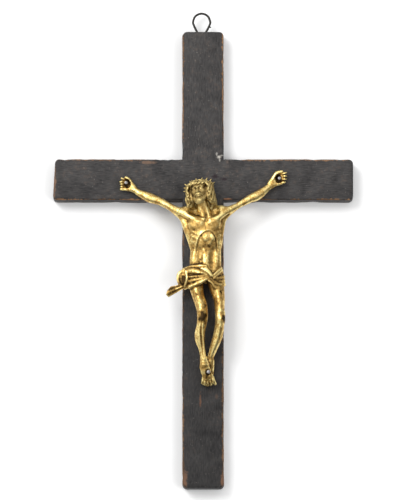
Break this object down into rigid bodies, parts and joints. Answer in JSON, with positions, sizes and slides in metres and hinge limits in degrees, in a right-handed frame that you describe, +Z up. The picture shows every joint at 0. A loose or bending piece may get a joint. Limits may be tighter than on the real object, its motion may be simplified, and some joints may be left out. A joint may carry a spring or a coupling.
{
  "type": "wall crucifix",
  "caption": "Flat wooden Latin cross, ebonised and worn at the edges, bearing a cast gilt figure nailed at hands and feet, with a wire loop on top to hang it on a wall.",
  "frame": {"origin": "centre of the crossing of the two beams, on the back face that lies against the wall", "axes": "+Z up along the post, +X to the viewer's right along the crossbar, +Y out of the back into the wall; the figure faces -Y"},
  "size_m": [0.196, 0.0348, 0.3138],
  "materials": {
    "ebonised_wood": "black paint, satin, worn to brown wood at the arrises",
    "gilt_brass": "gilt casting, rubbed bright on the high places, dark patina in the hollows",
    "iron_wire": "dark drawn wire, dull",
    "forged_iron": "dark forged, dull"
  },
  "bodies": {
    "root": {"post": "ebonised_wood", "crossbar": "ebonised_wood", "lap_brads": "forged_iron", "hanger_loop": "iron_wire", "corpus_body": "gilt_brass", "corpus_right_arm": "gilt_brass", "corpus_left_arm": "gilt_brass", "right_hand_nail": "forged_iron", "left_hand_nail": "forged_iron", "feet_nail": "forged_iron"}
  },
  "joints": []
}
